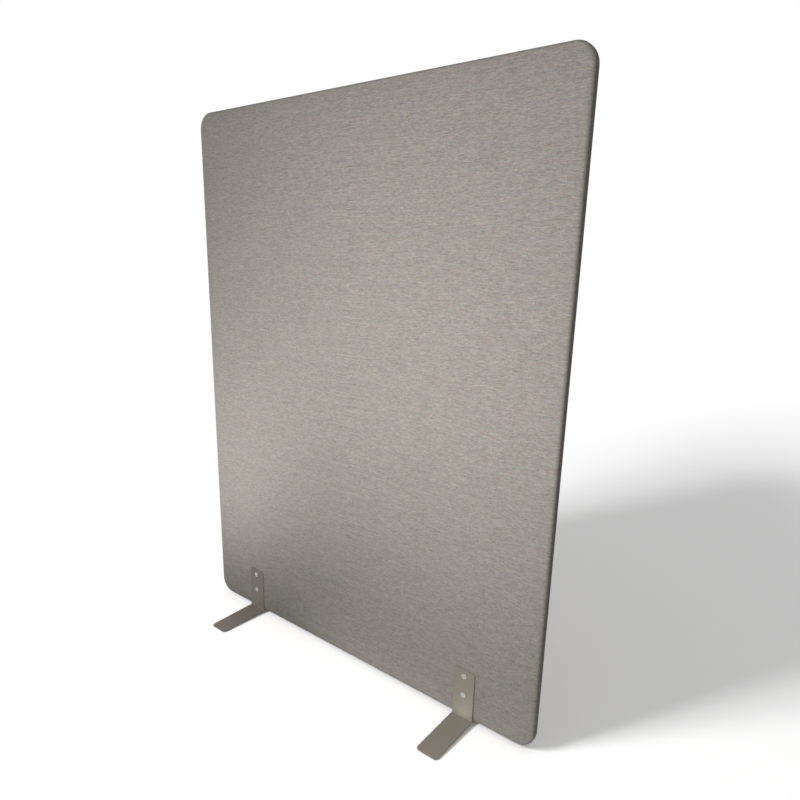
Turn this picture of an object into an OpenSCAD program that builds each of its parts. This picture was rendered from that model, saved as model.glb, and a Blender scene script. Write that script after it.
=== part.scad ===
// Free-standing acoustic divider screen. A wooden frame filled with absorber is wrapped
// in foam and two halves of woven cover, whose edges roll over at every side. Four bent
// steel feet, a pair in front and a pair behind, are clamped through the panel by
// connector bolts and sleeve nuts. Front is -Y, the width runs along X, and the screen
// stands on the plane z = 0. All sizes are in millimetres.

/* [Panel] */
// Width of the upholstered panel
panel_w = 1200; // [800:10:1600]
// Height of the upholstered panel
panel_h = 1500; // [1000:10:1800]
// Thickness of the upholstered panel
panel_d = 30; // [26:1:50]
// Radius of the four corners, seen from the front
corner_r = 45; // [30:1:90]
// Radius of the roll along every edge
edge_r = 9; // [7:0.5:12.5]

/* [Upholstery] */
// Thickness of the woven cover
fabric_t = 1; // [0.6:0.1:1.5]
// Thickness of the foam over the frame
foam_t = 3.7; // [2:0.1:5]

/* [Frame] */
// Width of the two upright stiles
stile_w = 45; // [35:1:80]
// Width of the top and bottom rails
rail_w = 45; // [35:1:55]
// Width of the middle rail
middle_rail_w = 60; // [40:1:100]
// Width of the blocks that the feet are bolted through
foot_block_w = 100; // [70:1:160]
// Height of the blocks that the feet are bolted through
foot_block_h = 110; // [90:1:200]
// Diameter of the wooden dowels
dowel_d = 8; // [6:0.5:10]
// Length of the wooden dowels
dowel_l = 44; // [20:1:60]
// Distance between the two dowels of a joint
dowel_pitch = 24; // [16:1:30]
// Distance between the two dowels under a foot block
block_dowel_pitch = 60; // [30:1:60]

/* [Feet] */
// Width of the steel strip
foot_w = 60; // [40:1:90]
// Thickness of the steel strip
plate_t = 4; // [3:0.5:6]
// Height of a foot above the panel's bottom edge
foot_rise = 137; // [120:1:180]
// Reach of a foot in front of the panel's face
foot_reach = 153; // [100:1:220]
// Angle by which the leg slopes down towards its tip
leg_slope = 2.5; // [1:0.5:6]
// Inner radius of the bend
bend_r = 3; // [2:0.5:8]
// Corner radius at the top of the upright
upright_corner_r = 10; // [3:0.5:15]
// Corner radius at the tip of the leg
tip_corner_r = 8; // [6:0.5:20]
// Distance from the panel's side edge to the middle of a foot
foot_inset = 195; // [120:1:300]

/* [Connector bolts] */
// Distance from the top of the upright to the upper bolt
bolt_edge = 17; // [15:1:25]
// Distance between the two bolts of a foot
bolt_pitch = 53; // [40:1:55]
// Diameter of the flat heads
head_d = 15; // [13:0.5:20]
// Thickness of the flat heads
head_t = 1.5; // [1.3:0.1:3]
// Radius that softens the rim of a head
head_round = 0.5; // [0.3:0.1:1.2]
// Diameter of the bolt's shank
bolt_d = 6; // [5.5:0.1:6.5]
// Outer diameter of the sleeve nut
sleeve_d = 8.8; // [8.2:0.1:10]
// Length of shank that is screwed into the sleeve
thread_engage = 16; // [8:1:22]
// Size of the hexagon key, across its flats
key_size = 4; // [3:0.5:4]
// Depth of the key's socket
key_depth = 2.4; // [1.5:0.1:3]

/* [Floor pads] */
// Thickness of a pad where it is thinnest
pad_t = 1.5; // [1:0.1:4]
// Length of a pad along the leg
pad_l = 30; // [15:1:60]
// Bare margin between a pad and the rim of the leg's tip
pad_margin = 5; // [2:0.5:5.5]

/* [Fits] */
// Gap between one layer of upholstery and the next
layer_gap = 0.15; // [0.05:0.05:0.4]
// Gap round an absorber batt
batt_gap = 0.5; // [0.2:0.1:0.9]
// Gap all round a sleeve in its hole
sleeve_gap = 0.15; // [0.1:0.05:0.5]
// Gap all round a bolt's shank in the sleeve
thread_gap = 0.1; // [0.05:0.05:0.2]
// Gap all round a dowel in its hole
dowel_gap = 0.1; // [0.05:0.05:0.3]
// Space left past each end of a dowel and past the end of a bolt
end_gap = 0.8; // [0.3:0.1:0.9]

/* [Hidden] */
$fn = 72;

wood = "burlywood";
batt_wool = "lightsteelblue";
foam = "khaki";
weave = [0.60, 0.57, 0.54];
weave_shade = [0.55, 0.52, 0.49];
steel_paint = [0.50, 0.47, 0.43];
zinc = [0.75, 0.76, 0.74];
felt = [0.20, 0.19, 0.18];

// One length by which every cut runs past the face that it opens
overrun = 2;

// Each layer of the panel is the panel itself, drawn in by its inset
foam_inset = fabric_t + layer_gap;
frame_inset = foam_inset + foam_t + layer_gap;
frame_w = panel_w - 2 * frame_inset;
frame_h = panel_h - 2 * frame_inset;
frame_d = panel_d - 2 * frame_inset;
opening_w = frame_w - 2 * stile_w;
run_w = panel_w - 2 * corner_r;
run_h = panel_h - 2 * corner_r;

// Heights in the frame, counted from the middle of the panel
top_rail_y = frame_h / 2 - rail_w / 2;
bottom_rail_y = rail_w / 2 - frame_h / 2;
rails = [[bottom_rail_y, rail_w], [0, middle_rail_w], [top_rail_y, rail_w]];
block_bottom_y = rail_w - frame_h / 2;

// The length of the leg's underside, how far its slope lifts the panel off the floor, and the
// centre of the bend
bend_outer_r = bend_r + plate_t;
leg_l = (foot_reach - bend_outer_r + bend_outer_r * sin(leg_slope)) / cos(leg_slope);
panel_lift = pad_t + leg_l * sin(leg_slope);
bend_y = -panel_d / 2 - bend_outer_r;
bend_z = panel_lift + bend_outer_r * cos(leg_slope);
bend_steps = 16;
foot_x = panel_w / 2 - foot_inset;

bolt_heights = [foot_rise - bolt_edge, foot_rise - bolt_edge - bolt_pitch];
grip = panel_d + 2 * plate_t;
shank_l = (grip + thread_engage) / 2;
sleeve_hole_d = sleeve_d + 2 * sleeve_gap;

// The panel is drawn lying on its back: x is its width, y its height from the middle
// and z its depth towards the front. This stands it up on its feet.
module standing() {
    translate([0, 0, panel_lift + panel_h / 2]) rotate([90, 0, 0]) children();
}

// Half of the section through an edge, from the middle of the depth to the front face.
// x runs outwards from the centre of the corner radius.
module edge_section(inset) {
    square([corner_r - edge_r, panel_d / 2 - inset]);
    square([corner_r - inset, panel_d / 2 - edge_r]);
    translate([corner_r - edge_r, panel_d / 2 - edge_r]) intersection() {
        circle(r = edge_r - inset);
        square(edge_r);
    }
}

// Carries an edge section round the panel: a quarter turn at each corner, and a straight
// run along each side
module round_the_panel() {
    for (turn = [[1, 1, 0], [-1, 1, 90], [-1, -1, 180], [1, -1, 270]]) {
        translate([turn[0] * run_w / 2, turn[1] * run_h / 2, 0])
            rotate(turn[2]) rotate_extrude(angle = 90) children();
    }
    for (side = [0, 180]) {
        rotate(side) translate([run_w / 2, 0, 0]) rotate([90, 0, 0])
            linear_extrude(run_h, center = true) children();
        rotate(side + 90) translate([run_h / 2, 0, 0]) rotate([90, 0, 0])
            linear_extrude(run_w, center = true) children();
    }
}

// The front half of one layer of upholstery, as a tray that is open at the back
module wrap_tray(inset, thickness) {
    round_the_panel() difference() {
        edge_section(inset);
        edge_section(inset + thickness);
    }
    translate([-run_w / 2, -run_h / 2, panel_d / 2 - inset - thickness])
        cube([run_w, run_h, thickness]);
}

// The whole frame as one board with rolled edges, before it is parted into members
module frame_board() {
    round_the_panel() {
        edge_section(frame_inset);
        mirror([0, 1]) edge_section(frame_inset);
    }
    translate([-run_w / 2, -run_h / 2, -frame_d / 2]) cube([run_w, run_h, frame_d]);
}

// Places its children at the four holes for the connector bolts
module at_bolts() {
    for (side = [-1, 1]) {
        at_side_bolts(side) children();
    }
}

module at_side_bolts(side) {
    for (height = bolt_heights) {
        translate([side * foot_x, height - panel_h / 2, 0]) children();
    }
}

module bolt_holes() {
    at_bolts() cylinder(d = sleeve_hole_d, h = panel_d + 2 * overrun, center = true);
}

// Places its children at the dowels between rails and stiles, lying along x
module at_rail_dowels() {
    for (side = [-1, 1], rail = rails, place = [-1, 1]) {
        translate([side * opening_w / 2, rail[0] + place * dowel_pitch / 2, 0])
            rotate([0, 90, 0]) children();
    }
}

// Places its children at the dowels under the foot blocks, standing along y
module at_block_dowels() {
    for (side = [-1, 1], place = [-1, 1]) {
        translate([side * foot_x + place * block_dowel_pitch / 2, block_bottom_y, 0])
            rotate([90, 0, 0]) children();
    }
}

module dowel() {
    cylinder(d = dowel_d, h = dowel_l, center = true);
}

module dowel_hole() {
    cylinder(d = dowel_d + 2 * dowel_gap, h = dowel_l + 2 * end_gap, center = true);
}

// Frame members
module stile(side) {
    color(wood) standing() difference() {
        intersection() {
            frame_board();
            translate([side * (opening_w + stile_w) / 2, 0, 0])
                cube([stile_w, frame_h, frame_d], center = true);
        }
        at_rail_dowels() dowel_hole();
    }
}

module left_stile() {
    stile(-1);
}

module right_stile() {
    stile(1);
}

module rail(place, width) {
    color(wood) standing() difference() {
        intersection() {
            frame_board();
            translate([0, place, 0]) cube([opening_w, width, frame_d], center = true);
        }
        at_rail_dowels() dowel_hole();
        at_block_dowels() dowel_hole();
    }
}

module top_rail() {
    rail(top_rail_y, rail_w);
}

module middle_rail() {
    rail(0, middle_rail_w);
}

module bottom_rail() {
    rail(bottom_rail_y, rail_w);
}

module foot_block(side) {
    color(wood) standing() difference() {
        translate([side * foot_x - foot_block_w / 2, block_bottom_y, -frame_d / 2])
            cube([foot_block_w, foot_block_h, frame_d]);
        bolt_holes();
        at_block_dowels() dowel_hole();
    }
}

module left_foot_block() {
    foot_block(-1);
}

module right_foot_block() {
    foot_block(1);
}

module rail_dowels() {
    color(wood) standing() at_rail_dowels() dowel();
}

module foot_block_dowels() {
    color(wood) standing() at_block_dowels() dowel();
}

// Absorber batts fill the two openings of the frame
module batt(low, high) {
    translate([-opening_w / 2 + batt_gap, low + batt_gap, -frame_d / 2])
        cube([opening_w - 2 * batt_gap, high - low - 2 * batt_gap, frame_d]);
}

module upper_absorber_batt() {
    color(batt_wool) standing() batt(middle_rail_w / 2, frame_h / 2 - rail_w);
}

module lower_absorber_batt() {
    color(batt_wool) standing() difference() {
        batt(block_bottom_y, -middle_rail_w / 2);
        for (side = [-1, 1]) {
            translate([side * foot_x - foot_block_w / 2 - batt_gap,
                       block_bottom_y - overrun, -frame_d / 2 - overrun])
                cube([foot_block_w + 2 * batt_gap, foot_block_h + batt_gap + overrun,
                      frame_d + 2 * overrun]);
        }
    }
}

// Foam over the frame, and the woven cover over the foam, in two halves that meet
// along the middle of the edges
module front_foam_pad() {
    color(foam) standing() foam_half();
}

module rear_foam_pad() {
    color(foam) standing() mirror([0, 0, 1]) foam_half();
}

module foam_half() {
    difference() {
        wrap_tray(foam_inset, foam_t);
        bolt_holes();
    }
}

module front_cover() {
    color(weave) standing() cover_half();
}

module rear_cover() {
    color(weave_shade) standing() mirror([0, 0, 1]) cover_half();
}

module cover_half() {
    difference() {
        wrap_tray(0, fabric_t);
        bolt_holes();
    }
}

// One end of a strip, seen square on: it runs along y and has two rounded corners
module strip_outline(width, length, radius) {
    translate([-width / 2, 0]) square([width, length - radius]);
    translate([radius - width / 2, 0]) square([width - 2 * radius, length]);
    for (side = [-1, 1]) {
        translate([side * (width / 2 - radius), length - radius]) circle(r = radius);
    }
}

// What is trimmed off round that end, as a plate
module end_trim(width, length, radius, depth) {
    linear_extrude(depth) difference() {
        translate([-width / 2 - overrun, length - radius])
            square([width + 2 * overrun, radius + 2 * overrun]);
        strip_outline(width, length, radius);
    }
}

// Turns a leg's own axes into the screen's: its length runs forwards and down from the
// bend, and its depth is counted outwards from the centre of the bend
module along_leg() {
    translate([0, bend_y, bend_z]) rotate([180 + leg_slope, 0, 0]) children();
}

// The same for a point of the side view
function leg_point(along, depth) = [
    bend_y - along * cos(leg_slope) + depth * sin(leg_slope),
    bend_z - along * sin(leg_slope) - depth * cos(leg_slope)
];

// Points round the bend in the side view, from the upright to the leg
function bend_arc(radius) = [
    for (step = [0 : bend_steps])
        let (turn = step / bend_steps * (leg_slope - 90))
        [bend_y + radius * cos(turn), bend_z + radius * sin(turn)]
];

// The bent strip of a front foot in its side view, with both ends left too long
function strip_side(top_z, inner_arc) = concat(
    [[-panel_d / 2, top_z]],
    bend_arc(bend_outer_r),
    [leg_point(leg_l + overrun, bend_outer_r), leg_point(leg_l + overrun, bend_r)],
    [for (step = [bend_steps : -1 : 0]) inner_arc[step]],
    [[-panel_d / 2 - plate_t, top_z]]
);

// A front foot on the middle of the panel: the bent strip, trimmed round at the top as
// seen from the front and at the tip as seen from above, and drilled for the bolts
module foot() {
    color(steel_paint) difference() {
        rotate([90, 0, 90]) linear_extrude(foot_w, center = true)
            polygon(strip_side(panel_lift + foot_rise + overrun, bend_arc(bend_r)));
        translate([0, overrun - panel_d / 2, 0]) rotate([90, 0, 0])
            end_trim(foot_w, panel_lift + foot_rise, upright_corner_r, plate_t + 2 * overrun);
        translate([0, 0, -overrun]) rotate(180)
            end_trim(foot_w, panel_d / 2 + foot_reach, tip_corner_r, bend_z + 2 * overrun);
        for (height = bolt_heights) {
            translate([0, 0, panel_lift + height]) rotate([90, 0, 0])
                cylinder(d = sleeve_hole_d, h = grip + 2 * overrun, center = true);
        }
    }
}

module front_left_foot() {
    translate([-foot_x, 0, 0]) foot();
}

module front_right_foot() {
    translate([foot_x, 0, 0]) foot();
}

module rear_left_foot() {
    mirror([0, 1, 0]) front_left_foot();
}

module rear_right_foot() {
    mirror([0, 1, 0]) front_right_foot();
}

// The plain flat head of a bolt or nut, on the plane z = 0
module head() {
    rotate_extrude() {
        square([head_d / 2 - head_round, head_t]);
        square([head_d / 2, head_t - head_round]);
        translate([head_d / 2 - head_round, head_t - head_round]) intersection() {
            circle(r = head_round);
            square(head_round);
        }
    }
}

// A bolt, which takes a hexagon key
module connector_bolt() {
    difference() {
        union() {
            head();
            translate([0, 0, -shank_l]) cylinder(d = bolt_d, h = shank_l);
        }
        translate([0, 0, head_t - key_depth])
            cylinder(d = key_size / cos(30), h = key_depth + overrun, $fn = 6);
    }
}

// A nut on a long sleeve, whose head has nothing to turn it by
module sleeve_nut() {
    difference() {
        union() {
            head();
            translate([0, 0, -shank_l]) cylinder(d = sleeve_d, h = shank_l);
        }
        translate([0, 0, -shank_l - overrun])
            cylinder(d = bolt_d + 2 * thread_gap, h = thread_engage + end_gap + overrun);
    }
}

// The bolts come from behind, so that the front shows only the nuts' plain heads
module bolt_pair(side) {
    color(zinc) standing() at_side_bolts(side) mirror([0, 0, 1])
        translate([0, 0, grip / 2]) connector_bolt();
}

module nut_pair(side) {
    color(zinc) standing() at_side_bolts(side) translate([0, 0, grip / 2]) sleeve_nut();
}

module left_connector_bolts() {
    bolt_pair(-1);
}

module right_connector_bolts() {
    bolt_pair(1);
}

module left_sleeve_nuts() {
    nut_pair(-1);
}

module right_sleeve_nuts() {
    nut_pair(1);
}

// A pad under the tip of a leg, as thick as the sloping leg leaves room above the floor
module floor_pad() {
    color(felt) intersection() {
        along_leg() translate([0, leg_l - pad_margin - pad_l, bend_outer_r])
            linear_extrude(panel_lift)
                strip_outline(foot_w - 2 * pad_margin, pad_l, tip_corner_r - pad_margin);
        translate([-foot_w / 2, -panel_d / 2 - foot_reach, 0])
            cube([foot_w, foot_reach, panel_lift]);
    }
}

module front_left_floor_pad() {
    translate([-foot_x, 0, 0]) floor_pad();
}

module front_right_floor_pad() {
    translate([foot_x, 0, 0]) floor_pad();
}

module rear_left_floor_pad() {
    mirror([0, 1, 0]) front_left_floor_pad();
}

module rear_right_floor_pad() {
    mirror([0, 1, 0]) front_right_floor_pad();
}

left_stile();
right_stile();
top_rail();
middle_rail();
bottom_rail();
left_foot_block();
right_foot_block();
rail_dowels();
foot_block_dowels();
upper_absorber_batt();
lower_absorber_batt();
front_foam_pad();
rear_foam_pad();
front_cover();
rear_cover();
front_left_foot();
front_right_foot();
rear_left_foot();
rear_right_foot();
left_connector_bolts();
right_connector_bolts();
left_sleeve_nuts();
right_sleeve_nuts();
front_left_floor_pad();
front_right_floor_pad();
rear_left_floor_pad();
rear_right_floor_pad();
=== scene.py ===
# %% [markdown]
# # An acoustic divider screen
# The screen is one upholstered panel on four feet of bent steel strip. The imported CAD
# model gives every piece its size and place. This script gives each piece its looks: it
# models the soft and the painted pieces again with finer shapes, and gives the wooden
# frame inside its grain. The first cell loads the imported model, and keeps its meshes so
# that later cells can read each piece's box.

# %% Load the imported model
import math

import bmesh
import bpy
from mathutils import Color, Matrix, Vector, noise


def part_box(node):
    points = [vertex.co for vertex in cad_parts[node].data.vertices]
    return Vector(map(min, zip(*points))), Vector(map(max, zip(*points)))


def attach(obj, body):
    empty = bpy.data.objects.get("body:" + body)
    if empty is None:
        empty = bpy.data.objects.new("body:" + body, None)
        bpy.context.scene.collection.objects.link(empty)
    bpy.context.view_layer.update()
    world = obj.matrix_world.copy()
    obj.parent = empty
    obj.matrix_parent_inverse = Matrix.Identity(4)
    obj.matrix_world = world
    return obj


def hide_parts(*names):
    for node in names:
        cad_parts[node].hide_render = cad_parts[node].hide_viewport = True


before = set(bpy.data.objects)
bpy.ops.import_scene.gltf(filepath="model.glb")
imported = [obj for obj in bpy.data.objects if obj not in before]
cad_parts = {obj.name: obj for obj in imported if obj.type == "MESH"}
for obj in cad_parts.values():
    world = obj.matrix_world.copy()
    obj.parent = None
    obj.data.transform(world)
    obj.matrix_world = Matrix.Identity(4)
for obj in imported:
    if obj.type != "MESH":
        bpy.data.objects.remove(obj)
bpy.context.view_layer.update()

# %% [markdown]
# ## The camera
# A photograph is matched by its camera first, because every later judgement of shape and
# tone depends on it. The picture was taken from the right of the screen at chest height,
# a little above the middle of the panel, with a wide lens. The picture was cropped after
# it was taken, so its middle isn't the lens's middle. Blender's shift makes up for that
# crop without turning the camera.

# %% Stand the camera where the photograph was taken
camera_place = Vector((1.102, -1.136, 1.090))
camera_heading = math.radians(35.84)
camera_pitch = math.radians(-14.26)
camera_roll = math.radians(2.34)

camera_data = bpy.data.cameras.new("camera")
camera_data.sensor_fit = "HORIZONTAL"
camera_data.sensor_width = 36
camera_data.lens = 27.43
camera_data.shift_x = -0.0479
camera_data.shift_y = 0.0367
camera = bpy.data.objects.new("camera", camera_data)
bpy.context.scene.collection.objects.link(camera)
camera.matrix_world = (
    Matrix.Translation(camera_place)
    @ Matrix.Rotation(camera_heading, 4, "Z")
    @ Matrix.Rotation(math.pi / 2 + camera_pitch, 4, "X")
    @ Matrix.Rotation(camera_roll, 4, "Z")
)
bpy.context.scene.camera = camera
print("camera stands", round(-camera_place.y, 2), "m in front of the panel's middle")

# %% [markdown]
# ## The panel's measures
# The box of the front cover gives the panel's width, height and half of its depth. What a
# box can't tell is repeated here from the CAD model: the radius of the four corners, the
# roll of the edges, and how thick the cloth and the foam are. Real upholstery never rolls
# over as sharply as a drawn arc. The foam gives way for the last three centimetres before
# the edge, so the face sinks a little there, which shows as a soft darker rim.

# %% Measure the panel
cover_low, cover_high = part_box("front_cover")
panel_w = cover_high.x - cover_low.x
panel_h = cover_high.z - cover_low.z
half_depth = -cover_low.y
panel_middle = (cover_low.z + cover_high.z) / 2

corner_r = 0.045
edge_r = 0.009
cloth_t = 0.001
foam_t = 0.0037
layer_gap = 0.00015
rim_drop = 0.0018
rim_width = 0.030
seam_tuck = 0.0008

run_x = panel_w / 2 - corner_r
run_z = panel_h / 2 - corner_r
print("panel, in metres:", round(panel_w, 4), round(panel_h, 4), round(2 * half_depth, 4))

# %% [markdown]
# ## The section of an edge
# Cloth, foam and their inner faces all follow one section, each drawn in by its own
# inset. The section is a list of points made by a formula: it starts at the seam in the
# middle of the edge, goes up the flat of the side, round the roll and along the soft rim
# to the flat face. The roll stops a few degrees early, at just the slope with which the
# parabola of the rim begins, so that no crease shows between them.

# %% Draw the section with a formula
ROLL_STEPS = 12
RIM_STEPS = 6
TUCK_STEPS = 3


def edge_section(inset, drop, tuck):
    """Points from the seam to the flat face: (distance outwards, depth to the front)."""
    lift = math.atan(2 * drop / rim_width)
    side = corner_r - inset
    roll = edge_r - inset
    face = half_depth - inset
    roll_depth = face - drop - roll * math.cos(lift)
    points = []
    for step in range(TUCK_STEPS if tuck else 0):
        turn = math.pi / 2 * step / TUCK_STEPS
        points.append((side - tuck + tuck * math.sin(turn), tuck - tuck * math.cos(turn)))
    points.append((side, tuck))
    for step in range(ROLL_STEPS + 1):
        turn = (math.pi / 2 - lift) * step / ROLL_STEPS
        points.append((side - roll + roll * math.cos(turn), roll_depth + roll * math.sin(turn)))
    rim_start = points[-1][0]
    for step in range(1, RIM_STEPS + 1):
        share = step / RIM_STEPS
        points.append((rim_start - rim_width * share, face - drop * (1 - share) ** 2))
    return points


print("points in the cloth's section:", len(edge_section(0, rim_drop, seam_tuck)))

# %% [markdown]
# ## Carrying the section round the panel
# A box with bevelled edges would also give this form, but a bevel has one radius and no
# soft rim. Here the section is swept instead. It is extruded up the right side, spun round
# the corner by a quarter turn, extruded along the top, and so on until it meets its own
# start. The hole that is left in the middle is filled with one face. Straight cuts then
# lay a grid over the face, so that it can be bent a little later.

# %% Sweep one half of a layer
CORNER_STEPS = 14
X_AXIS, Y_AXIS, Z_AXIS = range(3)
grid_pitch = 0.04
same_point = 1e-5
same_place = 1e-6


def reaches(section):
    """How far each point of a section lies from the corner's middle, along the cloth."""
    lengths = [section[-1][0]]
    for near, far in zip(section[:0:-1], section[-2::-1]):
        lengths.append(lengths[-1] + math.dist(near, far))
    return lengths[::-1]


def sweep_round(bm, section):
    """Carries the section round the four sides of the panel."""
    layer = bm.verts.layers.float.get("reach") or bm.verts.layers.float.new("reach")
    start = []
    for (out, depth), reach in zip(section, reaches(section)):
        start.append(bm.verts.new((run_x + out, -depth, panel_middle - run_z)))
        start[-1][layer] = reach
    edges = [bm.edges.new(pair) for pair in zip(start, start[1:])]
    corner = Vector((run_x, 0, panel_middle + run_z))
    quarter = Matrix.Rotation(math.pi / 2, 3, Vector((0, -1, 0)))
    along = Vector((0, 0, 1))
    for this_run, next_run in ((run_z, run_x), (run_x, run_z)) * 2:
        pulled = bmesh.ops.extrude_edge_only(bm, edges=edges)["geom"]
        verts = [g for g in pulled if isinstance(g, bmesh.types.BMVert)]
        edges = [g for g in pulled if isinstance(g, bmesh.types.BMEdge)]
        bmesh.ops.translate(bm, verts=verts, vec=along * 2 * this_run)
        spun = bmesh.ops.spin(
            bm, geom=verts + edges, cent=corner, axis=(0, -1, 0), dvec=(0, 0, 0),
            angle=math.pi / 2, steps=CORNER_STEPS, use_duplicate=False,
        )["geom_last"]
        edges = [g for g in spun if isinstance(g, bmesh.types.BMEdge)]
        along = quarter @ along
        corner = corner + along * 2 * next_run
    bmesh.ops.remove_doubles(bm, verts=bm.verts, dist=same_point)


def lies_at(edge, axis, place):
    """Whether both ends of an edge lie at one place along an axis."""
    return all(abs(vert.co[axis] - place) < same_place for vert in edge.verts)


def open_ring(bm, axis, place):
    """The open edges that lie at one place along an axis."""
    return [edge for edge in bm.edges if edge.is_boundary and lies_at(edge, axis, place)]


def fill_face(bm, depth):
    """Fills the ring of open edges that lies at one depth."""
    bmesh.ops.contextual_create(bm, geom=open_ring(bm, Y_AXIS, -depth))


def cut_grid(bm):
    """Lays straight cuts over the panel, along both directions."""
    middle = Vector((0, 0, panel_middle))
    for reach, normal in ((run_x, Vector((1, 0, 0))), (run_z, Vector((0, 0, 1)))):
        cuts = round(2 * reach / grid_pitch)
        for cut in range(cuts + 1):
            place = middle + normal * (2 * cut / cuts - 1) * reach
            everything = bm.verts[:] + bm.edges[:] + bm.faces[:]
            bmesh.ops.bisect_plane(
                bm, geom=everything, dist=same_point, plane_co=place, plane_no=normal
            )


def face_front(bm):
    """Turns all faces of an open front half outwards."""
    bmesh.ops.recalc_face_normals(bm, faces=bm.faces)
    widest = max(bm.faces, key=lambda face: face.calc_area())
    if widest.normal.y > 0:
        bmesh.ops.reverse_faces(bm, faces=bm.faces)


print("arc over an edge, from the corner's middle to the seam:",
      round(reaches(edge_section(0, rim_drop, seam_tuck))[0] * 1000, 1), "mm")

# %% [markdown]
# ## From a bmesh to a piece
# Every piece ends the same way: its bmesh becomes a smooth-shaded mesh, its object rides
# on the screen's one body, and the CAD nodes that it stands for are hidden. Holes are cut
# with a Boolean modifier. Its result is kept in the mesh at once, so that no cutter stays
# in the scene.

# %% Make a piece, and drill one
HOLE_SIDES = 36
soft_crease = math.radians(50)


def make_piece(name, bm, nodes=()):
    """Turns a finished bmesh into a piece that stands for the named CAD nodes."""
    mesh = bpy.data.meshes.new(name)
    bm.to_mesh(mesh)
    bm.free()
    mesh.shade_smooth()
    thing = bpy.data.objects.new(name, mesh)
    bpy.context.scene.collection.objects.link(thing)
    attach(thing, "root")
    if nodes:
        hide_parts(*nodes)
    print(name, "has", len(mesh.polygons), "faces")
    return thing


def keep_modifiers(thing):
    """Makes what the modifiers show the piece's own mesh."""
    shown = bpy.context.evaluated_depsgraph_get()
    mesh = bpy.data.meshes.new_from_object(
        thing.evaluated_get(shown), preserve_all_data_layers=True, depsgraph=shown
    )
    old_mesh = thing.data
    thing.modifiers.clear()
    thing.data = mesh
    bpy.data.meshes.remove(old_mesh)
    mesh.name = thing.name


def drill(thing, places, radius):
    """Cuts round holes from front to rear, each at its (x, z)."""
    bm = bmesh.new()
    for x, z in places:
        stand = Matrix.Translation((x, 0, z)) @ Matrix.Rotation(math.pi / 2, 4, "X")
        bmesh.ops.create_cone(
            bm, cap_ends=True, segments=HOLE_SIDES, radius1=radius, radius2=radius,
            depth=4 * half_depth, matrix=stand,
        )
    mesh = bpy.data.meshes.new("cutter")
    bm.to_mesh(mesh)
    bm.free()
    cutter = bpy.data.objects.new("cutter", mesh)
    bpy.context.scene.collection.objects.link(cutter)
    cut = thing.modifiers.new("holes", "BOOLEAN")
    cut.object = cutter
    cut.operation = "DIFFERENCE"
    cut.solver = "EXACT"
    keep_modifiers(thing)
    bpy.data.objects.remove(cutter)
    bpy.data.meshes.remove(mesh)


def turn_round(bm):
    """Turns the front half of something by half a turn, so that it becomes the rear one."""
    bmesh.ops.rotate(bm, verts=bm.verts, cent=(0, 0, 0), matrix=Matrix.Rotation(math.pi, 3, "Z"))


# %% [markdown]
# ## Where the bolts sit
# The connector bolts clamp the feet through the whole panel, so the cloth, the foam and
# the strips all have a hole at each bolt. The box of a pair of bolts holds two round
# heads, one above the other. It gives the size of a head and both centres.

# %% Find the bolts
sleeve_hole_r = 0.00455


def bolt_places(side):
    """The (x, z) of the two bolts of one side."""
    low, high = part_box(f"{side}_connector_bolts")
    radius = (high.x - low.x) / 2
    return [(low.x + radius, low.z + radius), (low.x + radius, high.z - radius)]


all_bolts = bolt_places("left") + bolt_places("right")
print("bolts at, in mm:", [(round(x * 1000), round(z * 1000, 1)) for x, z in all_bolts])

# %% [markdown]
# ## The covers
# Each cover is a woven cloth, drawn tight over the foam. The two halves meet in a seam
# along the middle of the edges, where the cloth turns in. Each point knows how far it lies
# from the face along the cloth. That gives a UV map in real metres, as if the cloth lay
# flat on the cutting table, so the weave follows the roll without being stretched. Cloth
# is never quite flat either: a broad and very shallow unevenness catches the light, but
# none under the feet, which press on it.

# %% Shape the cloth
wave_length = 0.16
wave_depth = 0.0003
wave_middle = 0.6
calm_width = 0.08
foot_calm_r = 0.09


def nearest_core(place):
    """The nearest point of the rectangle between the four corners' middles."""
    x = max(-run_x, min(run_x, place.x))
    z = max(panel_middle - run_z, min(panel_middle + run_z, place.z))
    return Vector((x, 0, z))


def lay_flat(bm):
    """Gives each point its place in the flat cloth, in metres, as a UV map."""
    layer = bm.verts.layers.float["reach"]
    uv_map = bm.loops.layers.uv.new("flat_cloth")
    for face in bm.faces:
        for loop in face.loops:
            core = nearest_core(loop.vert.co)
            away = loop.vert.co - core
            away.y = 0
            length = away.length
            if length > same_point:
                core += away / length * max(length, loop.vert[layer])
            loop[uv_map].uv = (core.x, core.z)


def unsettle(bm):
    """Presses the flat of the face in by a fraction of a millimetre, unevenly."""
    bolt_x, bolt_z = all_bolts[-1]
    for vert in bm.verts:
        if vert.co.y > same_point - half_depth:
            continue
        rim_x = run_x + rim_width - abs(vert.co.x)
        rim_z = run_z + rim_width - abs(vert.co.z - panel_middle)
        foot = math.hypot(abs(vert.co.x) - bolt_x, vert.co.z - bolt_z) - foot_calm_r
        calm = max(0, min(1, min(rim_x, rim_z, foot) / calm_width))
        wave = noise.noise(vert.co / wave_length) - wave_middle
        vert.co.y -= wave_depth * wave * calm


def make_cover(name, node, rear):
    """One half of the cover: a cloth with its thickness, and holes for the bolts."""
    section = edge_section(0, rim_drop, seam_tuck)
    bm = bmesh.new()
    sweep_round(bm, section)
    fill_face(bm, section[-1][1])
    cut_grid(bm)
    face_front(bm)
    lay_flat(bm)
    unsettle(bm)
    if rear:
        turn_round(bm)
    cloth = make_piece(name, bm, [node])
    thicken = cloth.modifiers.new("thickness", "SOLIDIFY")
    thicken.thickness = cloth_t
    thicken.offset = -1
    keep_modifiers(cloth)
    drill(cloth, all_bolts, sleeve_hole_r)
    cloth.data.set_sharp_from_angle(angle=soft_crease)
    return cloth


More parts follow.
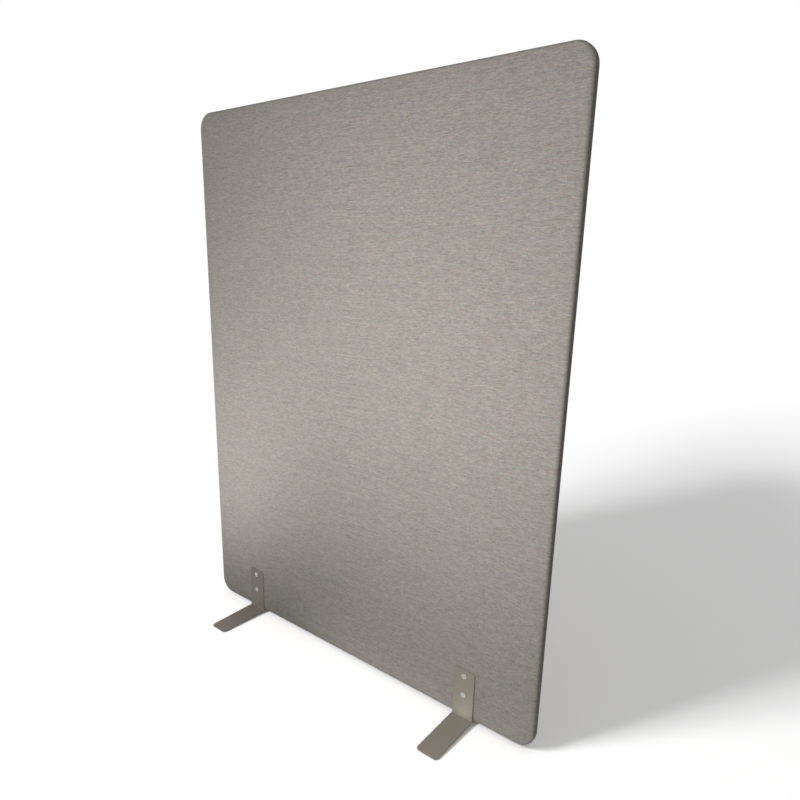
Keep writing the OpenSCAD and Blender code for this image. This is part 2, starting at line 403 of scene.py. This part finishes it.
front_cloth = make_cover("front_cloth", "front_cover", rear=False)
rear_cloth = make_cover("rear_cloth", "rear_cover", rear=True)

# %% [markdown]
# ## The foam
# A thin layer of foam lies over the frame and gives the edges their soft roll. Its outer
# side follows the cloth's inner side, and its inner side follows the frame. Towards the
# edge the foam is squeezed, which is what lets the rim sink. The same section with another
# inset gives each side. Both are joined at the seam and swept as one, and the two flat
# faces are filled.

# %% Make the foam
def make_foam(name, node, rear):
    """One half of the foam, from just under the cloth down to the frame."""
    outer = edge_section(cloth_t + layer_gap, rim_drop, 0)
    inner = edge_section(cloth_t + layer_gap + foam_t, 0, 0)
    bm = bmesh.new()
    sweep_round(bm, inner[::-1] + outer)
    fill_face(bm, outer[-1][1])
    fill_face(bm, inner[-1][1])
    bmesh.ops.recalc_face_normals(bm, faces=bm.faces)
    if rear:
        turn_round(bm)
    foam = make_piece(name, bm, [node])
    drill(foam, all_bolts, sleeve_hole_r)
    foam.data.set_sharp_from_angle(angle=soft_crease)
    return foam


front_foam = make_foam("front_foam", "front_foam_pad", rear=False)
rear_foam = make_foam("rear_foam", "rear_foam_pad", rear=True)

# %% [markdown]
# ## The absorber batts
# Pressed polyester fibre fills the openings of the frame and takes up the sound. The CAD
# batts are sharp blocks, but such a batt is cut with a blade and its edges fluff up a
# little. A copy of each CAD mesh is merged and cleaned of needless edges, and a bevel
# then rounds what is left.

# %% Soften the batts
batt_round = 0.004
hard_crease = math.radians(30)


def hard_edges(bm):
    """The edges where two faces meet at a marked angle."""
    return [edge for edge in bm.edges if edge.calc_face_angle(0) > hard_crease]


def round_edges(bm, edges, radius, segments):
    """Rounds edges off by a radius."""
    bmesh.ops.bevel(
        bm, geom=edges, offset=radius, segments=segments, profile=0.5, affect="EDGES",
        material=-1,
    )


def soften(name, node, width):
    """A copy of a CAD block with rounded edges."""
    bm = bmesh.new()
    bm.from_mesh(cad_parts[node].data)
    bmesh.ops.remove_doubles(bm, verts=bm.verts, dist=same_point)
    bmesh.ops.dissolve_limit(
        bm, angle_limit=math.radians(1), use_dissolve_boundaries=False, verts=bm.verts,
        edges=bm.edges, delimit=set(),
    )
    bmesh.ops.recalc_face_normals(bm, faces=bm.faces)
    round_edges(bm, hard_edges(bm), width, 3)
    return make_piece(name, bm, [node])


upper_batt = soften("upper_batt", "upper_absorber_batt", batt_round)
lower_batt = soften("lower_batt", "lower_absorber_batt", batt_round)
for batt in (upper_batt, lower_batt):
    batt.data.set_sharp_from_angle(angle=soft_crease)

# %% [markdown]
# ## The feet
# Each foot is one flat steel strip: drilled, rounded at both ends and then bent. The
# script makes it in the order that suits a mesh. A rectangle, the strip's section, is
# extruded down to the bend, spun round the centre of the bend, and extruded along the leg,
# which slopes down a little so that only the tip stands on the floor. The end of the leg
# is cut upright. The corners are bevelled by the strip's own radii, and a small live bevel
# gives all edges the soft line that a powder coat leaves.

# %% Bend the strip
strip_t = 0.004
leg_slope = math.radians(2.5)
bend_outer = 0.007
upright_corner = 0.010
tip_corner = 0.008
coat_round = 0.0004
coat_crease = math.radians(40)
pad_t = 0.0015
BEND_STEPS = 16
CORNER_SEGMENTS = 10
panel_low = cover_low.z


def leg_end(vert, reach_y):
    """Slides a vertex along the leg until it lies at the given depth."""
    vert.co += Vector((0, -math.cos(leg_slope), -math.sin(leg_slope))) * (
        (vert.co.y - reach_y) / math.cos(leg_slope)
    )


def round_corners(bm, axis, place, radius):
    """Rounds the corners at one end of a strip, seen on its flat side."""
    corners = [
        edge for edge in bm.edges
        if lies_at(edge, axis, place) and lies_at(edge, X_AXIS, edge.verts[0].co.x)
    ]
    round_edges(bm, corners, radius, CORNER_SEGMENTS)


def make_foot(name, node, side, rear):
    """One foot from the section of the strip, its bend and its slope."""
    low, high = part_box(f"front_{side}_foot")
    bend = Vector((0, -half_depth - bend_outer, panel_low + bend_outer * math.cos(leg_slope)))
    bm = bmesh.new()
    top = Matrix.Translation(((low.x + high.x) / 2, -half_depth - strip_t / 2, high.z))
    size = Matrix.Diagonal((high.x - low.x, strip_t, 1, 1))
    bmesh.ops.create_grid(bm, x_segments=1, y_segments=1, size=0.5, matrix=top @ size)
    section = bm.faces[:]
    pulled = bmesh.ops.extrude_face_region(bm, geom=section, use_keep_orig=True)["geom"]
    verts = [g for g in pulled if isinstance(g, bmesh.types.BMVert)]
    bmesh.ops.translate(bm, verts=verts, vec=(0, 0, bend.z - high.z))
    end = [g for g in pulled if isinstance(g, bmesh.types.BMFace)]
    spun = bmesh.ops.spin(
        bm, geom=end, cent=bend, axis=(-1, 0, 0), dvec=(0, 0, 0),
        angle=math.pi / 2 - leg_slope, steps=BEND_STEPS, use_duplicate=False,
    )["geom_last"]
    end = [g for g in spun if isinstance(g, bmesh.types.BMFace)]
    pulled = bmesh.ops.extrude_face_region(bm, geom=end)["geom"]
    for tip in (g for g in pulled if isinstance(g, bmesh.types.BMVert)):
        leg_end(tip, low.y)
    bmesh.ops.remove_doubles(bm, verts=bm.verts, dist=same_place)
    inside = [face for face in bm.faces if all(len(e.link_faces) > 2 for e in face.edges)]
    bmesh.ops.delete(bm, geom=inside, context="FACES_ONLY")
    bmesh.ops.recalc_face_normals(bm, faces=bm.faces)
    round_corners(bm, Z_AXIS, high.z, upright_corner)
    round_corners(bm, Y_AXIS, low.y, tip_corner)
    if rear:
        turn_round(bm)
    foot = make_piece(name, bm, [node])
    drill(foot, all_bolts, sleeve_hole_r)
    foot.data.set_sharp_from_angle(angle=hard_crease)
    edges = foot.modifiers.new("soft_edges", "BEVEL")
    edges.width = coat_round
    edges.segments = 3
    edges.limit_method = "ANGLE"
    edges.angle_limit = coat_crease
    edges.harden_normals = True
    return foot


feet = [
    make_foot("strip_front_left", "front_left_foot", "left", rear=False),
    make_foot("strip_front_right", "front_right_foot", "right", rear=False),
    make_foot("strip_rear_left", "rear_left_foot", "right", rear=True),
    make_foot("strip_rear_right", "rear_right_foot", "left", rear=True),
]

# %% [markdown]
# ## The floor pads
# A thin felt pad under each tip keeps the steel off the floor. It is a wedge, because the
# leg above it slopes.

# %% Cut the pads
pad_corner = 0.004
pad_round = 0.0003


def make_pad(name, node, side, rear):
    """A felt wedge that fills the room between the leg's tip and the floor."""
    low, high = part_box(f"front_{side}_floor_pad")
    tip_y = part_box(f"front_{side}_foot")[0].y
    bm = bmesh.new()
    size = Matrix.Diagonal((*(high - low), 1))
    bmesh.ops.create_cube(bm, size=1, matrix=Matrix.Translation((low + high) / 2) @ size)
    for vert in bm.verts:
        if vert.co.z > low.z + same_point:
            vert.co.z = pad_t + (vert.co.y - tip_y) * math.tan(leg_slope)
    round_corners(bm, Y_AXIS, low.y, pad_corner)
    round_edges(bm, hard_edges(bm), pad_round, 2)
    if rear:
        turn_round(bm)
    pad = make_piece(name, bm, [node])
    pad.data.set_sharp_from_angle(angle=soft_crease)
    return pad


pads = [
    make_pad("felt_front_left", "front_left_floor_pad", "left", rear=False),
    make_pad("felt_front_right", "front_right_floor_pad", "right", rear=False),
    make_pad("felt_rear_left", "rear_left_floor_pad", "right", rear=True),
    make_pad("felt_rear_right", "rear_right_floor_pad", "left", rear=True),
]

# %% [markdown]
# ## Connector bolts and sleeve nuts
# A sleeve nut sits in the front of each hole, and a connector bolt comes from the rear,
# through strip, cover, foam and frame, and screws into it. The front shows nothing but
# the nut's flat disc. The bolt's head has a hexagon socket for the key. Head and shank are
# turned parts, so half of the section is drawn and spun all the way round. The socket
# isn't round: its hexagon is a circle of six sides with as many points as the ring around
# it, and a bridge joins the two.

# %% Turn the bolts and nuts
HEAD_SIDES = 48
HEAD_STEPS = 6
KEY_SIDES = 6
head_r = 0.0075
head_t = 0.0015
head_round = 0.0005
burr = 0.0002
land_r = 0.0045
socket_rim_r = 0.0026
key_r = 0.002 / math.cos(math.pi / KEY_SIDES)
key_depth = 0.0024
shank_l = 0.027
shank_r = 0.003
shank_chamfer = 0.0008
sleeve_r = 0.0044
bore_r = 0.0031
bore_l = 0.0168
bore_chamfer = 0.0004
turned_crease = math.radians(35)


def rounded_head(stem_r):
    """Half of the section from under the head to a ring on top of it: (radius, height)."""
    points = [(stem_r, 0), (head_r - burr, 0), (head_r, burr)]
    for step in range(HEAD_STEPS + 1):
        turn = math.pi / 2 * step / HEAD_STEPS
        points.append((
            head_r - head_round + head_round * math.cos(turn),
            head_t - head_round + head_round * math.sin(turn),
        ))
    return points + [(land_r, head_t), (socket_rim_r, head_t)]


def close_ring(bm, height):
    """Fills the ring of open edges that lies at one height."""
    bmesh.ops.contextual_create(bm, geom=open_ring(bm, Z_AXIS, height))


def turned(section):
    """Spins a section round the z axis, and returns its bmesh."""
    bm = bmesh.new()
    verts = [bm.verts.new((radius, 0, height)) for radius, height in section]
    edges = [bm.edges.new(pair) for pair in zip(verts, verts[1:])]
    bmesh.ops.spin(
        bm, geom=verts + edges, cent=(0, 0, 0), axis=(0, 0, 1), dvec=(0, 0, 0),
        angle=2 * math.pi, steps=HEAD_SIDES, use_merge=True, use_duplicate=False,
    )
    return bm


def cut_socket(bm):
    """Bridges the open ring on top of the head to a hexagon, and sinks it."""
    ring = open_ring(bm, Z_AXIS, head_t)
    bmesh.ops.create_circle(
        bm, segments=KEY_SIDES, radius=key_r, matrix=Matrix.Translation((0, 0, head_t))
    )
    sides = [edge for edge in bm.edges if edge.is_wire]
    bmesh.ops.subdivide_edges(bm, edges=sides, cuts=HEAD_SIDES // KEY_SIDES - 1)
    hexagon = [edge for edge in bm.edges if edge.is_wire]
    bmesh.ops.bridge_loops(bm, edges=ring + hexagon)
    walls = bmesh.ops.extrude_edge_only(bm, edges=hexagon)["geom"]
    verts = [g for g in walls if isinstance(g, bmesh.types.BMVert)]
    bmesh.ops.translate(bm, verts=verts, vec=(0, 0, -key_depth))
    floor = [g for g in walls if isinstance(g, bmesh.types.BMEdge)]
    bmesh.ops.contextual_create(bm, geom=floor)


def set_pair(name, node, bm, places, rear):
    """Sets one turned part on both places of a side, from the front or from the rear."""
    bmesh.ops.recalc_face_normals(bm, faces=bm.faces)
    single = bpy.data.meshes.new("single")
    bm.to_mesh(single)
    bm.free()
    pair = bmesh.new()
    for x, z in places:
        turn = Matrix.Rotation(math.pi / 2 * (-1 if rear else 1), 4, "X")
        out = (half_depth + strip_t) * (1 if rear else -1)
        one = single.copy()
        one.transform(Matrix.Translation((x, out, z)) @ turn)
        pair.from_mesh(one)
        bpy.data.meshes.remove(one)
    bpy.data.meshes.remove(single)
    thing = make_piece(name, pair, [node])
    thing.data.set_sharp_from_angle(angle=turned_crease)
    return thing


def connector_bolt():
    """A bolt with a solid shank, whose end is chamfered."""
    end = [(shank_r - shank_chamfer, -shank_l), (shank_r, -shank_l + shank_chamfer)]
    bm = turned(end + rounded_head(shank_r))
    close_ring(bm, -shank_l)
    cut_socket(bm)
    return bm


def sleeve_nut():
    """A nut with a plain head, whose sleeve has a bore for the bolt."""
    bore = [
        (bore_r, -shank_l + bore_l), (bore_r, -shank_l + bore_chamfer),
        (bore_r + bore_chamfer, -shank_l),
    ]
    end = [(sleeve_r - burr, -shank_l), (sleeve_r, -shank_l + burr)]
    bm = turned(bore + end + rounded_head(sleeve_r))
    close_ring(bm, -shank_l + bore_l)
    close_ring(bm, head_t)
    return bm


fasteners = []
for side in ("left", "right"):
    places = bolt_places(side)
    fasteners += [
        set_pair(f"{side}_bolts", f"{side}_connector_bolts", connector_bolt(), places, rear=True),
        set_pair(f"{side}_sleeves", f"{side}_sleeve_nuts", sleeve_nut(), places, rear=False),
    ]

# %% [markdown]
# ## Tools for the materials
# All materials are made of noise and arithmetic, so they need no pictures and can be made
# finer at will. Colours are written as 8-bit screen values, as a colour picker shows them,
# and turned into the linear values that the shader works with. The noise takes the size of
# its features in metres, so that a number here can be compared with a ruler. All noise is
# shifted by a part of its own feature size, because layers of unlike sizes would otherwise
# agree at zero and show a line in the middle of the cloth.

# %% Define the tools
noise_shift = (0.41, 0.27, 0.63)


def screen_color(red, green, blue):
    """A colour in 8-bit screen values, as the shader wants it."""
    return (*Color((red / 255, green / 255, blue / 255)).from_srgb_to_scene_linear(), 1)


def new_material(name, color, roughness, metallic=0.0):
    """A material with a Principled shader. Returns it with its node tree and the shader."""
    material = bpy.data.materials.new(name)
    material.use_nodes = True
    tree = material.node_tree
    shader = tree.nodes["Principled BSDF"]
    shader.inputs["Base Color"].default_value = color
    shader.inputs["Roughness"].default_value = roughness
    shader.inputs["Metallic"].default_value = metallic
    return material, tree, shader


def calc(tree, operation, *values):
    """One step of arithmetic. Each value is a number or the output of another node."""
    step = tree.nodes.new("ShaderNodeMath")
    step.operation = operation
    for socket, value in zip(step.inputs, values):
        if isinstance(value, bpy.types.NodeSocket):
            tree.links.new(value, socket)
        else:
            socket.default_value = value
    return step.outputs[0]


def cloud(tree, place, sizes, detail=2, output="Fac"):
    """Noise around 0.5, whose features have the given sizes along x, y and z."""
    stretch = tree.nodes.new("ShaderNodeMapping")
    stretch.inputs["Scale"].default_value = [1 / size for size in sizes]
    stretch.inputs["Location"].default_value = noise_shift
    tree.links.new(place, stretch.inputs["Vector"])
    texture = tree.nodes.new("ShaderNodeTexNoise")
    texture.inputs["Scale"].default_value = 1
    texture.inputs["Detail"].default_value = detail
    tree.links.new(stretch.outputs["Vector"], texture.inputs["Vector"])
    return texture.outputs[output]


def two_tone(tree, shader, factor, dark, light, start, end):
    """Colours the shader between two tones, as the factor goes from start to end."""
    ramp = tree.nodes.new("ShaderNodeValToRGB")
    for stop, position, color in zip(ramp.color_ramp.elements, (start, end), (dark, light)):
        stop.position = position
        stop.color = color
    tree.links.new(factor, ramp.inputs["Fac"])
    tree.links.new(ramp.outputs["Color"], shader.inputs["Base Color"])


def relief(tree, shader, height, depth, strength):
    """Makes a height from 0 to 1 show as a relief of the given depth."""
    bump = tree.nodes.new("ShaderNodeBump")
    bump.inputs["Strength"].default_value = strength
    bump.inputs["Distance"].default_value = depth
    tree.links.new(height, bump.inputs["Height"])
    tree.links.new(bump.outputs["Normal"], shader.inputs["Normal"])


def object_place(tree):
    """Where a point lies on the object, in metres."""
    return tree.nodes.new("ShaderNodeTexCoord").outputs["Object"]


def paint_over(material, *things):
    """Gives each thing this material alone."""
    for thing in things:
        thing.data.materials.clear()
        thing.data.materials.append(material)


# %% [markdown]
# ## The cover fabric
# Seen from a step away, the cloth is grey-beige with short darker and lighter streaks along
# its width. They come from the weft: each yarn has thick and thin stretches, and is spun of
# fibres of several greys and beiges. A plain stretched noise would give wavy blots. Here
# the height on the cloth is rounded down to the number of the weft yarn, and the noise
# reads that number, so each yarn gets streaks of its own that run dead straight.

# %% Number the yarns
weft_pitch = 0.0015
warp_pitch = 0.0011
cloth_color = screen_color(161, 155, 147.5)

fabric, tree, shader = new_material("woven_fabric", cloth_color, 0.9)
flat = tree.nodes.new("ShaderNodeUVMap")
flat.uv_map = "flat_cloth"
flat = flat.outputs["UV"]
split = tree.nodes.new("ShaderNodeSeparateXYZ")
tree.links.new(flat, split.inputs["Vector"])
across, up = split.outputs["X"], split.outputs["Y"]
yarn_number = calc(tree, "FLOOR", calc(tree, "DIVIDE", up, weft_pitch))
on_yarn = tree.nodes.new("ShaderNodeCombineXYZ")
tree.links.new(across, on_yarn.inputs["X"])
tree.links.new(yarn_number, on_yarn.inputs["Y"])
on_yarn = on_yarn.outputs["Vector"]

# %% [markdown]
# The streaks are layers of noise with a weight each, whose sum goes up and down around 1:
# wide patches over many yarns, long and short slubs, single tufts, and a weak layer along
# the warp. A noise with three channels also shifts red, green and blue on their own.

# %% Colour the yarns
yarn_step = 1 / 7.3
tint_drift = 0.3

slubs = cloud(tree, on_yarn, (0.012, yarn_step, 1), 0)
layers = [
    (cloud(tree, flat, (0.060, 0.008, 1), 1), 0.1),
    (cloud(tree, on_yarn, (0.030, yarn_step, 1), 0), 0.22),
    (slubs, 0.45),
    (cloud(tree, on_yarn, (0.005, yarn_step, 1), 1), 0.67),
    (cloud(tree, flat, (0.0011, 0.008, 1), 1), 0.25),
]
brightness = 1 - sum(weight for layer, weight in layers) / 2
for layer, weight in layers:
    brightness = calc(tree, "MULTIPLY_ADD", layer, weight, brightness)

tint = tree.nodes.new("ShaderNodeVectorMath")
tint.operation = "MULTIPLY_ADD"
tree.links.new(cloud(tree, on_yarn, (0.020, yarn_step, 1), 1, "Color"), tint.inputs[0])
tint.inputs[1].default_value = [tint_drift * part for part in cloth_color[:3]]
tint.inputs[2].default_value = [(1 - tint_drift / 2) * part for part in cloth_color[:3]]
lit = tree.nodes.new("ShaderNodeVectorMath")
lit.operation = "SCALE"
tree.links.new(tint.outputs["Vector"], lit.inputs["Vector"])
tree.links.new(brightness, lit.inputs["Scale"])
tree.links.new(lit.outputs["Vector"], shader.inputs["Base Color"])

# %% [markdown]
# From close by, a plain weave shows: at each crossing, the weft lies over the warp or
# under it. Two sine waves make it, one across and one up the cloth. Their product changes
# sign from crossing to crossing, and decides which yarn is on top. Where a slub thickens
# the weft, it stands up a little more.

# %% Weave them
weave_depth = 0.0004
weave_strength = 0.35

wave_across = calc(tree, "SINE", calc(tree, "MULTIPLY", across, math.pi / warp_pitch))
wave_up = calc(tree, "SINE", calc(tree, "MULTIPLY", up, math.pi / weft_pitch))
over = calc(tree, "MULTIPLY", wave_across, wave_up)
weft = calc(tree, "MULTIPLY", calc(tree, "ABSOLUTE", wave_up), calc(tree, "ADD", 1, over))
weft = calc(tree, "MULTIPLY", weft, calc(tree, "ADD", slubs, 0.5))
warp = calc(tree, "MULTIPLY", calc(tree, "ABSOLUTE", wave_across), calc(tree, "SUBTRACT", 1, over))
weave = calc(tree, "MULTIPLY", calc(tree, "MAXIMUM", weft, warp), 0.5)
relief(tree, shader, weave, weave_depth, weave_strength)

shader.inputs["Specular IOR Level"].default_value = 0.25
shader.inputs["Sheen Weight"].default_value = 0.08
paint_over(fabric, front_cloth, rear_cloth)
print("fabric has", len(tree.nodes), "nodes")

# %% [markdown]
# ## Steel and zinc
# The feet have a satin powder coat: melted powder keeps a very fine grain, like the peel of
# an orange, which breaks up the highlights. The bolts and nuts are zinc plated, a pale
# metal that is never polished, so its roughness varies a little.

# %% Coat the steel
coat, tree, shader = new_material("powder_coat", screen_color(141, 134, 123), 0.5)
place = object_place(tree)
two_tone(
    tree, shader, cloud(tree, place, (0.002, 0.002, 0.002)),
    screen_color(135, 128, 117), screen_color(147, 140, 129), 0.3, 0.7,
)
relief(tree, shader, cloud(tree, place, (0.0009, 0.0009, 0.0009), 1), 0.00006, 0.5)
shader.inputs["Specular IOR Level"].default_value = 0.4
paint_over(coat, *feet)

zinc, tree, shader = new_material("zinc_plate", screen_color(174, 175, 170), 0.45, 1.0)
place = object_place(tree)
rough = calc(tree, "MULTIPLY_ADD", cloud(tree, place, (0.004, 0.004, 0.004)), 0.2, 0.35)
tree.links.new(rough, shader.inputs["Roughness"])
paint_over(zinc, *fasteners)
print("coated", len(feet) + len(fasteners), "pieces")

# %% [markdown]
# ## Wood, foam and felt
# None of the inner pieces show until the cover comes off, but each has its own material.
# Wood is noise that is stretched along the grain: wide bands for the yearly rings and
# narrow ones for the fibres. The grain runs along each stile, rail and dowel. Foam, fibre
# batts and felt are one colour with a fine relief.

# %% Fill the panel with materials
def wood(name, dark, light, sizes, nodes):
    """Wood for some CAD nodes, with its rings stretched to the given sizes."""
    material, tree, shader = new_material(name, light, 0.6)
    place = object_place(tree)
    rings = cloud(tree, place, sizes, 3)
    fibres = cloud(tree, place, [size / 6 for size in sizes])
    grain = calc(tree, "MULTIPLY_ADD", fibres, 0.35, calc(tree, "MULTIPLY", rings, 0.65))
    two_tone(tree, shader, grain, dark, light, 0.38, 0.6)
    relief(tree, shader, fibres, 0.0002, 0.3)
    paint_over(material, *[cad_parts[node] for node in nodes])


softwood = screen_color(190, 150, 104), screen_color(226, 196, 150)
beech = screen_color(196, 150, 112), screen_color(222, 184, 146)
wood("upright_softwood", *softwood, (0.012, 0.012, 0.35), ["left_stile", "right_stile"])
wood("level_softwood", *softwood, (0.35, 0.012, 0.012), [
    "top_rail", "middle_rail", "bottom_rail", "left_foot_block", "right_foot_block",
])
wood("level_beech", *beech, (0.05, 0.003, 0.003), ["rail_dowels"])
wood("upright_beech", *beech, (0.003, 0.003, 0.05), ["foot_block_dowels"])


def soft_material(name, color, dark, grain, depth, things):
    """A dull material with a fine relief."""
    material, tree, shader = new_material(name, color, 0.95)
    height = cloud(tree, object_place(tree), grain, 3)
    two_tone(tree, shader, height, dark, color, 0.3, 0.6)
    relief(tree, shader, height, depth, 0.6)
    paint_over(material, *things)


soft_material(
    "open_foam", screen_color(240, 232, 200), screen_color(222, 212, 176),
    (0.0012, 0.0012, 0.0012), 0.0006, [front_foam, rear_foam],
)
soft_material(
    "pressed_fibre", screen_color(224, 226, 228), screen_color(196, 200, 205),
    (0.012, 0.002, 0.004), 0.001, [upper_batt, lower_batt],
)
soft_material(
    "dark_felt", screen_color(58, 55, 52), screen_color(40, 38, 36),
    (0.003, 0.003, 0.001), 0.0004, pads,
)

# %% [markdown]
# ## Floor and backdrop
# The photograph was cut out against white, but the floor kept the screen's soft shadow.
# The camera sees a bright floor that turns into plain white with the distance, and sooner
# at both sides than in the middle of the shadow. Metal mirrors a plain white floor and a
# white world. All other rays see a dark floor and a dimmer world, so that the white doesn't
# light the object and wash out its tones.

# %% Lay the floor
floor_half = 40
floor_under = 0.0001
ambient = 0.3
floor_gain = 1.80
floor_return = 0.03
fade_start = 2.11
fade_end = 6.10
fade_side = 0.53
fade_curve = 2.6


def seen_directly(tree):
    """1 for rays that show the surroundings as they look, and 0 for rays that light."""
    path = tree.nodes.new("ShaderNodeLightPath")
    seen = calc(tree, "MAXIMUM", path.outputs["Is Camera Ray"], path.outputs["Is Glossy Ray"])
    return calc(tree, "MAXIMUM", seen, path.outputs["Is Transmission Ray"])


def mix_shaders(tree, factor, first, second):
    """One shader where the factor is 0 and the other where it is 1."""
    mix = tree.nodes.new("ShaderNodeMixShader")
    tree.links.new(factor, mix.inputs["Fac"])
    tree.links.new(first, mix.inputs[1])
    tree.links.new(second, mix.inputs[2])
    return mix.outputs["Shader"]


def flat_shader(tree, kind, color):
    """A plain diffuse or emission shader of one colour."""
    node = tree.nodes.new(kind)
    node.inputs["Color"].default_value = (color, color, color, 1)
    return node.outputs[0]


bm = bmesh.new()
bmesh.ops.create_grid(bm, x_segments=1, y_segments=1, size=floor_half)
floor_mesh = bpy.data.meshes.new("floor")
bm.to_mesh(floor_mesh)
bm.free()
floor = bpy.data.objects.new("floor", floor_mesh)
floor.location.z = -floor_under
bpy.context.scene.collection.objects.link(floor)

white = bpy.data.materials.new("white_floor")
white.use_nodes = True
tree = white.node_tree
tree.nodes.clear()
split = tree.nodes.new("ShaderNodeSeparateXYZ")
tree.links.new(object_place(tree), split.inputs["Vector"])
aside = calc(tree, "POWER", calc(tree, "SUBTRACT", split.outputs["X"], fade_side), 2)
distance = calc(tree, "MULTIPLY_ADD", aside, fade_curve, split.outputs["Y"])
fade = tree.nodes.new("ShaderNodeMapRange")
fade.interpolation_type = "SMOOTHSTEP"
fade.inputs["From Min"].default_value = fade_start
fade.inputs["From Max"].default_value = fade_end
tree.links.new(distance, fade.inputs["Value"])
mirrored = calc(
    tree, "SUBTRACT", 1, tree.nodes.new("ShaderNodeLightPath").outputs["Is Camera Ray"]
)
near = mix_shaders(
    tree, calc(tree, "MAXIMUM", fade.outputs["Result"], mirrored),
    flat_shader(tree, "ShaderNodeBsdfDiffuse", floor_gain),
    flat_shader(tree, "ShaderNodeEmission", 1),
)
surface = mix_shaders(
    tree, seen_directly(tree), flat_shader(tree, "ShaderNodeBsdfDiffuse", floor_return), near
)
output = tree.nodes.new("ShaderNodeOutputMaterial")
tree.links.new(surface, output.inputs["Surface"])
floor.data.materials.append(white)

world = bpy.data.worlds.new("white_world")
bpy.context.scene.world = world
world.use_nodes = True
tree = world.node_tree
tree.nodes.clear()
backdrop = tree.nodes.new("ShaderNodeBackground")
sky = tree.nodes.new("ShaderNodeBackground")
sky.inputs["Strength"].default_value = ambient
for background in (backdrop, sky):
    background.inputs["Color"].default_value = (1, 1, 1, 1)
output = tree.nodes.new("ShaderNodeOutputWorld")
surface = mix_shaders(
    tree, seen_directly(tree), sky.outputs["Background"], backdrop.outputs["Background"]
)
tree.links.new(surface, output.inputs["Surface"])

# %% [markdown]
# ## Light
# Each lamp lights only what its own collection names, which is called light linking, so
# the cloth, the feet and the floor can be lit one by one. The cloth is brightest at the
# left at half height, and darker towards the top left corner and the bottom edge. Two near
# lamps in front of the panel do that, and a weak one on the floor stands for the light that
# a pale floor throws back. The feet have a lamp of their own, and a small glow in the
# corner of the right one. A lamp behind the screen keeps its back from going dark.
#
# The shadow on the floor tells of another light, harder and from higher up: its dark core
# starts sharply at the panel, and a paler and wider rim lies round it. A small near lamp
# draws the core and a larger one further back the rim. A real lamp gets weaker with the
# square of the distance, which would burn out the floor in front of the screen and leave
# no shadow beside the legs. A Light Falloff node keeps these two at one level.

# %% Set up the lamps
def lamp(name, place, aim, size, power, lights):
    """An oval area lamp that the camera doesn't see, and the group that it lights."""
    light = bpy.data.lights.new(name, "AREA")
    light.shape = "ELLIPSE"
    light.size, light.size_y = size
    light.energy = power
    thing = bpy.data.objects.new(name, light)
    bpy.context.scene.collection.objects.link(thing)
    way = Vector(aim) - Vector(place)
    thing.matrix_world = (
        Matrix.Translation(place) @ way.to_track_quat("-Z", "Y").to_matrix().to_4x4()
    )
    thing.visible_camera = False
    thing.light_linking.receiver_collection = lights
    return thing


def light_group(name, things):
    """A collection that makes a lamp light only these things."""
    group = bpy.data.collections.new(name)
    for thing in things:
        group.objects.link(thing)
    for link in group.collection_objects:
        link.light_linking.link_state = "INCLUDE"
    return group


def keep_level(thing):
    """Makes a lamp's light as strong far away as near by."""
    thing.data.use_nodes = True
    tree = thing.data.node_tree
    falloff = tree.nodes.new("ShaderNodeLightFalloff")
    falloff.inputs["Strength"].default_value = 1
    tree.links.new(falloff.outputs["Constant"], tree.nodes["Emission"].inputs["Strength"])


only_floor = light_group("only_floor", [floor])
only_cloth = light_group("only_cloth", [front_cloth, rear_cloth])
only_feet = light_group("only_feet", feet + fasteners)
whole_screen = light_group("whole_screen", [front_cloth, rear_cloth] + feet + fasteners + pads)

lamp("left_lamp", (-0.56, -0.54, 0.42), (-0.90, 0, 0.94), (0.7, 0.7), 2.9, only_cloth)
lamp("middle_lamp", (0.26, -1.21, 0.76), (0.44, 0, 1.42), (0.7, 0.7), 15.8, only_cloth)
lamp("floor_glow", (0.30, -0.08, 0.001), (0.30, -0.06, 1), (1.0, 0.13), 0.17, only_cloth)
lamp("foot_lamp", (0.72, -1.20, 0.87), (0.30, 0, 0.05), (0.7, 0.7), 15, only_feet)
lamp("leg_glow", (0.405, -0.066, 0.0135), (0.405, -0.04, 1), (0.06, 0.08), 0.018, only_feet)
lamp("rear_lamp", (-0.50, 2.30, 1.30), (0, 0, 0.75), (1.0, 1.0), 24, whole_screen)
core_lamp = lamp("core_lamp", (-1.25, -2.33, 2.40), (0, 0, 0.8), (0.76, 0.76), 3.13, only_floor)
rim_lamp = lamp("rim_lamp", (-4.17, -8.11, 5.64), (0, 0, 0.8), (1.09, 1.09), 1.63, only_floor)
keep_level(core_lamp)
keep_level(rim_lamp)
print("lamps:", len(bpy.data.lights))

bpy.context.scene.view_settings.view_transform = "Standard"
